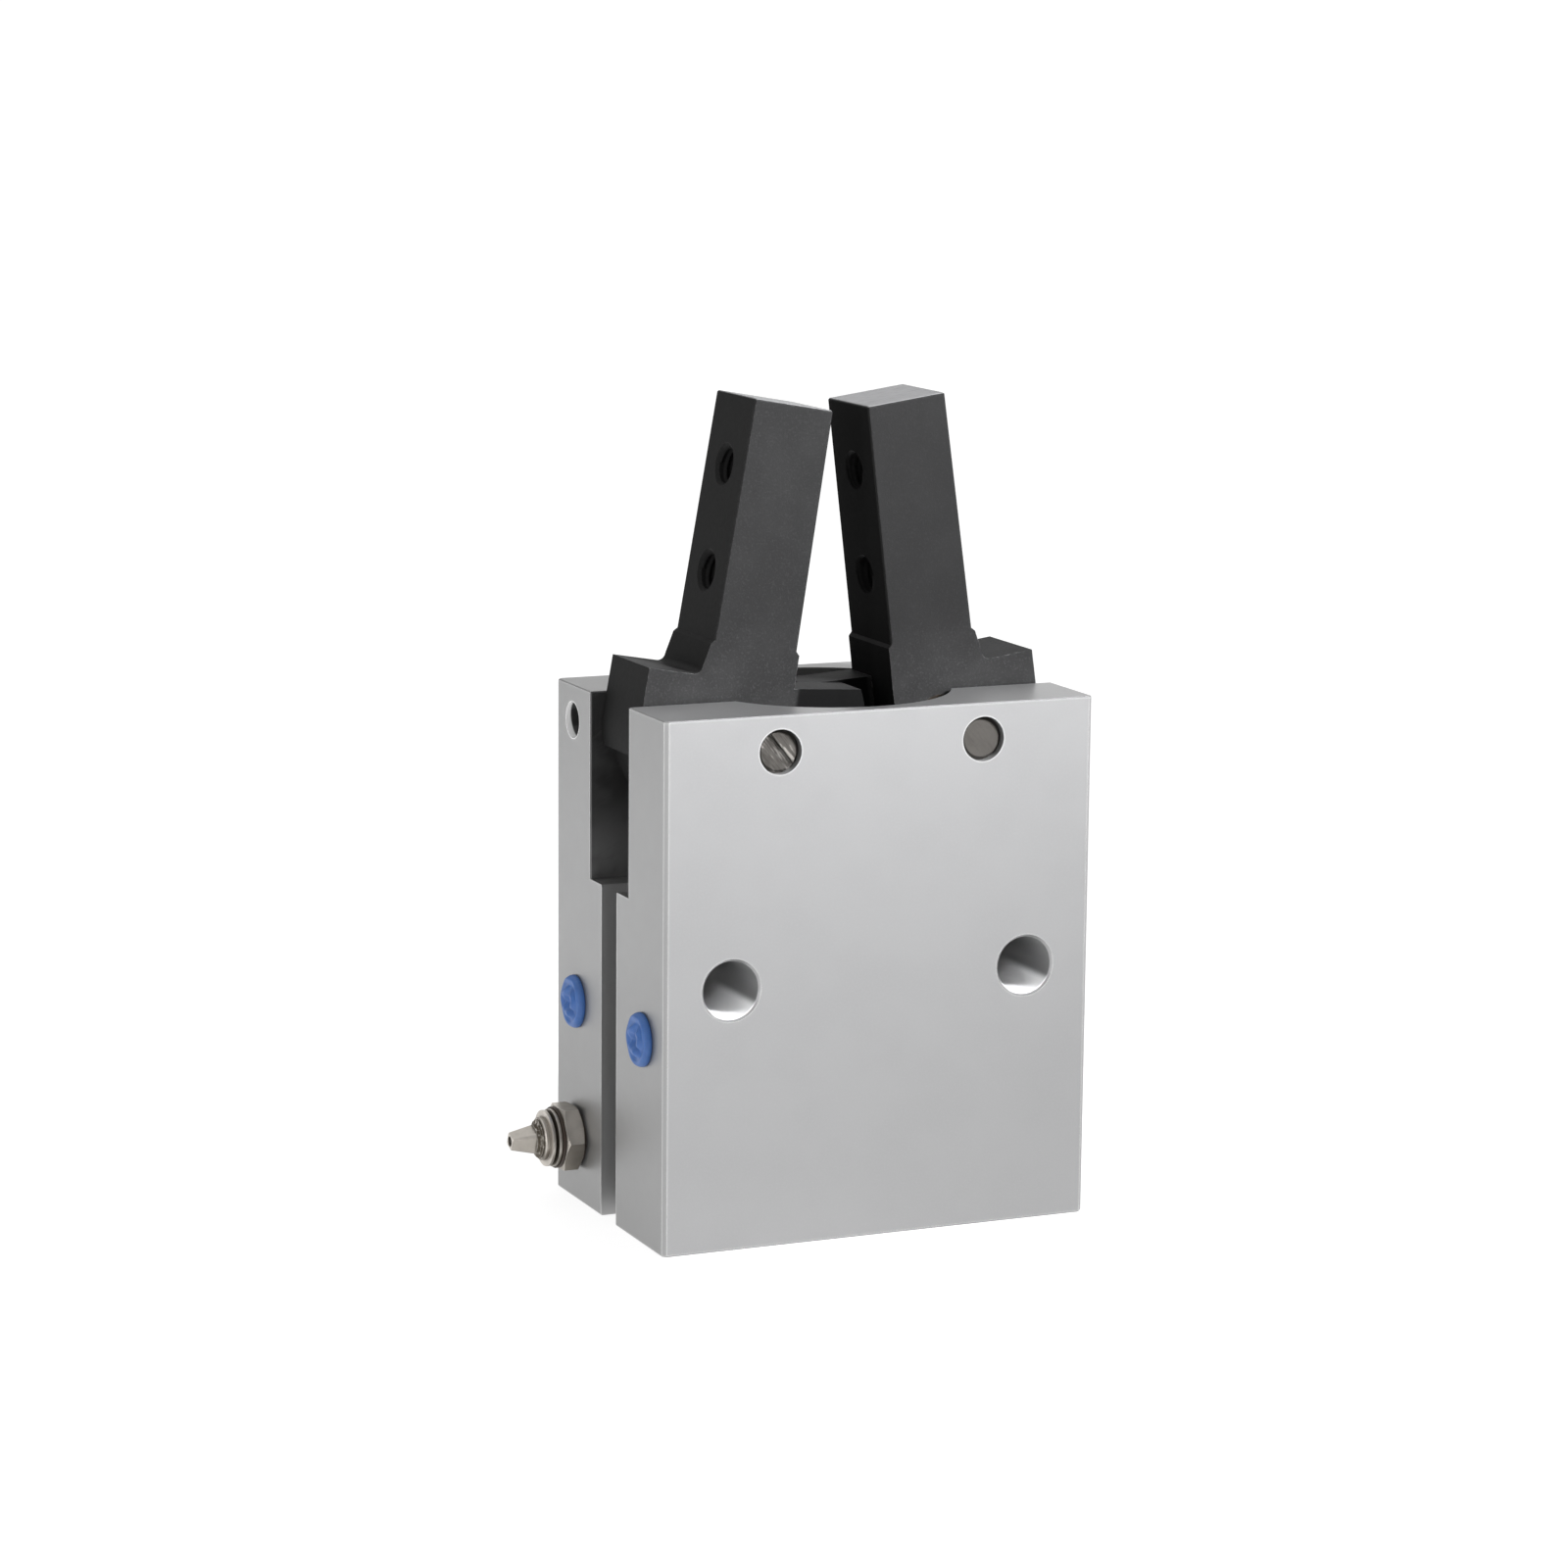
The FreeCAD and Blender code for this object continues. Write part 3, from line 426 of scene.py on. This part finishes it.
def plated_brass():
    """Dulled nickel plate over brass: smooth flats, brown painted shade in the gaps and on the
    underside, and a brown, tarnished collar.
    """
    color = grey(0.55, 0.07)
    s = Surface("dulled_nickel", color, 0.95, 0.30)
    s.round_edges(0.08 * MM)
    s.tint(s.spots(1.6 * MM, 0.4, 0.7, 4), scaled(color, 0.75), 0.6)
    # Painted shade: gaps between parts are darkened brown where ambient occlusion finds them; the
    # collar's spots are real tarnish.
    gap = s.node("ShaderNodeAmbientOcclusion", samples=6)
    gap.inputs["Distance"].default_value = 1.1 * MM
    crevice_shade = s.ramp(gap.outputs["AO"], 0.85, 0.40)
    across = s.along((1, 0, 0))
    collar = s.both(
        s.ramp(across, NUT_END_X + 0.10 * MM, NUT_END_X - 0.05 * MM),
        s.ramp(across, NUT_END_X - 0.90 * MM, NUT_END_X - 0.60 * MM))
    tarnish_and_shade = s.math("MAXIMUM", crevice_shade, s.both(collar, s.spots(0.5 * MM, 0.35, 0.5)))
    s.tint(tarnish_and_shade, grey(0.055, 0.28), 0.9)
    s.rub(tarnish_and_shade, 0.25)
    # Painted shade on faces turned downwards.
    underside = s.ramp(s.turned_to((0, 0, -1)), 0.15, 0.55)
    s.tint(underside, grey(0.10, 0.15), 0.8)
    s.rub(s.noise(0.5 * MM, 4), 0.14)
    s.raise_by(s.noise(0.10 * MM, 3), 0.006 * MM, 0.6)
    s.tint(s.edges(0.1 * MM), grey(0.82, 0.04), 0.6)
    return s.done()


def plastic(name, color, roughness, translucent=0.0):
    """Moulded plastic or rubber: faintly mottled, with a soft uneven surface."""
    s = Surface(name, color, 0.0, roughness)
    s.shader.inputs["Subsurface Weight"].default_value = translucent
    s.shader.inputs["Subsurface Radius"].default_value = (0.6 * MM, 0.8 * MM, 1.2 * MM)
    s.round_edges(0.06 * MM)
    s.tint(s.spots(1.5 * MM, 0.4, 0.7), scaled(color, 0.82), 0.5)
    s.tint(s.spots(0.3 * MM, 0.55, 0.75), scaled(color, 1.25), 0.35)
    s.rub(s.noise(0.6 * MM, 3), 0.10)
    s.raise_by(s.noise(0.25 * MM, 2), 0.012 * MM, 0.5)
    return s.done()


MATERIALS = {
    "body": body_alloy(),
    "cap_alloy": satin_alloy("turned_alloy", 0.28).done(),
    "finger_steel": blackened_steel(),
    # The bush's bronze is darkened almost to black as painted shade, so its lit rim in the body's
    # opening reads dark.
    "bush_bronze": turned_steel("shade_darkened_bronze", (0.030, 0.025, 0.020), 0.5).done(),
    "pin_steel": cut_pin(),
    "rod_steel": turned_steel("polished_rod_steel", grey(0.50), 0.28).done(),
    "spring_steel": turned_steel("phosphated_steel", grey(0.14), 0.45).done(),
    "screw_steel": turned_steel("black_oxide_steel", grey(0.11), 0.42).done(),
    "liner_steel": black_liner(),
    "seal_rubber": plastic("nitrile_rubber", grey(0.02), 0.6),
    "bumper_rubber": plastic("cushion_rubber", grey(0.035, 0.1), 0.55),
    "magnet": plastic("bonded_magnet", grey(0.075), 0.5),
    "wear_resin": plastic("acetal", grey(0.55, 0.08), 0.4),
    "plug_blue": plastic("blue_polyethylene", (0.040, 0.128, 0.38), 0.40, 0.2),
    "nickel": plated_brass(),
    "gasket": plastic("brown_gasket", (0.040, 0.026, 0.018), 0.5),
}


def dress_cad():
    """Gives every CAD node the material of its slot."""
    slots = {part["node"]: part["material_slot"] for part in frame["record"]["subparts"]}
    for name, node in frame["nodes"].items():
        node.data.materials.clear()
        node.data.materials.append(MATERIALS[slots[name]])


# ---- added pieces -----------------------------------------------------------------------------
def add_piece(name, points, faces, body, slot):
    """A new mesh that rides on a body and takes the finish of a material slot."""
    mesh = bpy.data.meshes.new(name)
    mesh.from_pydata([tuple(p) for p in points], [], faces)
    mesh.materials.append(MATERIALS[slot])
    for face in mesh.polygons:
        face.use_smooth = True
    piece = bpy.data.objects.new(name, mesh)
    bpy.context.scene.collection.objects.link(piece)
    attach(piece, body)
    return piece


def strip_faces(rows, per_row, closed):
    """Quads between successive rows of points. Closed joins each row's end to its start."""
    faces = []
    for row in range(rows - 1):
        for i in range(per_row if closed else per_row - 1):
            a, b = row * per_row + i, row * per_row + (i + 1) % per_row
            faces.append((a, b, b + per_row, a + per_row))
    return faces


def add_thread(name, body, slot, start, end):
    """The helical ridge of a tapped hole, standing in from the wall of its bore.

    A point of its section has a place along the hole, in pitches, and a distance from the wall.
    """
    steps_per_turn = 24
    turn = (end - start).to_track_quat("Z", "Y").to_matrix()
    steps = int((end - start).length / THREAD_PITCH * steps_per_turn)
    foot, crest = 0.02 * MM, -THREAD_DEPTH
    section = [(-0.40, foot), (-0.06, crest), (0.06, crest), (0.40, foot)]
    points = []
    for step in range(steps + 1):
        angle = math.tau * step / steps_per_turn
        for aside, inset in section:
            along = (step / steps_per_turn + aside) * THREAD_PITCH
            r = TAPPED_R + inset
            points.append(start + turn @ Vector((r * math.cos(angle), r * math.sin(angle), along)))
    add_piece(name, points, strip_faces(steps + 1, len(section), False), body, slot)


def add_threads():
    """The threads of the set screw holes, the fingers' holes and the two holes in the base."""
    clear, screw_lead = 0.45 * MM, 2.0 * MM
    for side, sign in SIDES.items():
        add_thread(
            "set_screw_thread_" + side, "housing", "body",
            Vector((sign * (BODY_HALF_X - screw_lead), SET_SCREW_Y, PIVOT.z)),
            Vector((sign * (SET_SCREW_END_X + clear), SET_SCREW_Y, PIVOT.z)))
        pivot, up, inwards = arm_frame(side)
        for place, reach in JAW_HOLES.items():
            hole = pivot + up * reach
            add_thread(
                "jaw_thread_%s_%s" % (side, place), side + "_finger", "finger_steel",
                hole - inwards * (ARM_OUTER - clear), hole + inwards * (ARM_INNER - clear))
        add_thread(
            "base_thread_" + side, "housing", "body",
            Vector((sign * BASE_THREAD_START.x, 0, BASE_THREAD_START.z)),
            Vector((sign * BASE_THREAD_END.x, 0, BASE_THREAD_END.z)))


# The soft plug's outline, from the middle of the dome to the flange's rim: height as a share of how
# far the plug stands out, and reach as a share of the flange's radius.
PLUG_DOME = [
    (0.45, 0.0), (0.42, 0.12), (0.50, 0.22), (0.86, 0.32), (0.96, 0.42), (0.92, 0.52),
    (0.66, 0.60), (0.58, 0.68), (0.66, 0.76), (0.72, 0.84), (0.62, 0.92), (0.36, 0.985),
    (0.12, 1.0), (0.0, 0.97),
]
# Its hollow stem: depth behind the body's face and radius, in millimetres.
PLUG_STEM = [(0, 2.04), (4.3, 2.04), (4.6, 1.75), (4.6, 1.2), (0.6, 1.2)]


def pinched(height, reach, angle):
    """The dome's height at an angle: three folds are pinched into it, and it ripples faintly."""
    fold = 0.5 + 0.5 * math.cos(3 * angle + 0.7)
    pinch = 0.42 * math.exp(-((reach - 0.45) / 0.16) ** 2)
    ripple = 0.24 * math.sin(5 * angle + 9 * reach) * reach * (1 - reach)
    return max(0.0, min(height - pinch * fold ** 4 + ripple, 1.0))


def add_soft_plug(node):
    """A soft blue transit plug: pinched dome with a sunken middle, flange and hollow stem."""
    low, high = (Vector(corner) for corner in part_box(node))
    centre = middle(node)
    face_x, flange_r = -BODY_HALF_X, (high.z - low.z) / 2
    proud = face_x - low.x
    segments = 72
    angles = [math.tau * i / segments for i in range(segments)]

    def ring_point(x, radius, angle):
        return (x, centre.y + radius * math.cos(angle), centre.z + radius * math.sin(angle))

    points = []
    for height, reach in PLUG_DOME:
        for angle in angles:
            oval = 1 - 0.035 * reach * (0.5 + 0.5 * math.sin(2 * angle + 0.9))
            x = face_x - proud * pinched(height, reach, angle)
            points.append(ring_point(x, reach * flange_r * oval, angle))
    for depth, radius in PLUG_STEM:
        points += [ring_point(face_x + depth * MM, radius * MM, angle) for angle in angles]
    rows = len(points) // segments
    faces = strip_faces(rows, segments, True)
    faces.append(tuple(range((rows - 1) * segments, rows * segments)))
    plug = add_piece("soft_" + node, points, faces, "housing", "plug_blue")
    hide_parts(node)


dress_cad()
add_threads()
for cad_plug in ("port_plug_front", "port_plug_back"):
    add_soft_plug(cad_plug)


# ---- studio -----------------------------------------------------------------------------------
def floor():
    """A glowing white table, wide enough to reach the horizon behind the object."""
    bpy.ops.mesh.primitive_plane_add(size=60.0, location=(0, 0, -0.02 * MM))
    plane = bpy.context.object
    plane.name = "floor"
    s = Surface("pale_floor", grey(0.25), 0.0, 0.7, 0.1)
    s.rub(s.noise(30 * MM, 2), 0.05)
    s.shader.inputs["Emission Color"].default_value = (1, 1, 1, 1)
    s.shader.inputs["Emission Strength"].default_value = 0.86
    plane.data.materials.append(s.done())


def aim_lamp(light, place, target):
    """Puts a light at a place, shining towards the target."""
    lamp = bpy.data.objects.new(light.name, light)
    lamp.location = place
    lamp.rotation_mode = "QUATERNION"
    lamp.rotation_quaternion = (Vector(target) - Vector(place)).to_track_quat("-Z", "Y")
    bpy.context.scene.collection.objects.link(lamp)


def spot(name, place, target, watts, beam, radius, color):
    """A soft-edged round lamp: beam is its full angle in degrees, radius its size."""
    light = bpy.data.lights.new(name, "SPOT")
    light.color = color
    light.energy = watts
    light.spot_size = math.radians(beam)
    light.spot_blend = 1.0
    light.shadow_soft_size = radius
    aim_lamp(light, place, target)


def softbox(name, place, target, size, watts):
    """A rectangular panel of light, its size given as width and height."""
    light = bpy.data.lights.new(name, "AREA")
    light.shape = "RECTANGLE"
    light.size, light.size_y = size
    light.energy = watts
    aim_lamp(light, place, target)


def studio_world(horizon, overhead):
    """A white backdrop whose light on the object is dimmer near the horizon than overhead."""
    world = bpy.data.worlds.new("studio")
    bpy.context.scene.world = world
    world.use_nodes = True
    tree = world.node_tree
    background = tree.nodes["Background"]
    background.inputs["Color"].default_value = (1, 1, 1, 1)
    direction = tree.nodes.new("ShaderNodeTexCoord")
    split = tree.nodes.new("ShaderNodeSeparateXYZ")
    strength = tree.nodes.new("ShaderNodeMapRange")
    strength.inputs["From Min"].default_value = 0.0
    strength.inputs["From Max"].default_value = 0.75
    strength.inputs["To Min"].default_value = horizon
    strength.inputs["To Max"].default_value = overhead
    seen = tree.nodes.new("ShaderNodeLightPath")
    backdrop = tree.nodes.new("ShaderNodeMath")
    backdrop.operation = "MAXIMUM"
    tree.links.new(direction.outputs["Generated"], split.inputs["Vector"])
    tree.links.new(split.outputs["Z"], strength.inputs["Value"])
    tree.links.new(strength.outputs["Result"], backdrop.inputs[0])
    tree.links.new(seen.outputs["Is Camera Ray"], backdrop.inputs[1])
    tree.links.new(backdrop.outputs["Value"], background.inputs["Strength"])


AZIMUTH = math.radians(23.69)
ELEVATION = math.radians(10.21)
ROLL = math.radians(0.543)
DISTANCE = 531.21 * MM
ASIDE, ABOVE = -3.842 * MM, 48.010 * MM
LENS, SENSOR = 105.17, 36.0


def camera():
    """Stands at the front left, a little above, and looks past the origin by ASIDE and ABOVE."""
    ahead = Vector((
        math.sin(AZIMUTH) * math.cos(ELEVATION),
        math.cos(AZIMUTH) * math.cos(ELEVATION),
        -math.sin(ELEVATION),
    ))
    level = Vector((math.cos(AZIMUTH), -math.sin(AZIMUTH), 0))
    upright = level.cross(ahead)
    right = level * math.cos(ROLL) + upright * math.sin(ROLL)
    up = upright * math.cos(ROLL) - level * math.sin(ROLL)
    data = bpy.data.cameras.new("camera")
    data.lens, data.sensor_width = LENS, SENSOR
    data.clip_start, data.clip_end = 0.01, 100
    cam = bpy.data.objects.new("camera", data)
    place = right * ASIDE + up * ABOVE - ahead * DISTANCE
    cam.matrix_world = Matrix.Translation(place) @ Matrix((right, up, -ahead)).transposed().to_4x4()
    bpy.context.scene.collection.objects.link(cam)
    bpy.context.scene.camera = cam


floor()
studio_world(horizon=0.18, overhead=0.85)
# The key light stands at the front right, the strip lights the left side, and the top face mirrors
# the card behind.
spot("key", (0.38, -0.55, 0.48), (0.004, 0, 0.112), 165.0, 16.0, 0.09, (0.97, 0.975, 1.0))
softbox("edge_strip", (-0.46, -0.20, 0.125), (0, 0, 0.03), (0.07, 0.24), 0.30)
softbox("back_card", (0.277, 0.631, 0.184), (0, 0, 0.06), (0.50, 0.18), 0.30)
camera()
bpy.context.scene.view_settings.view_transform = "Standard"
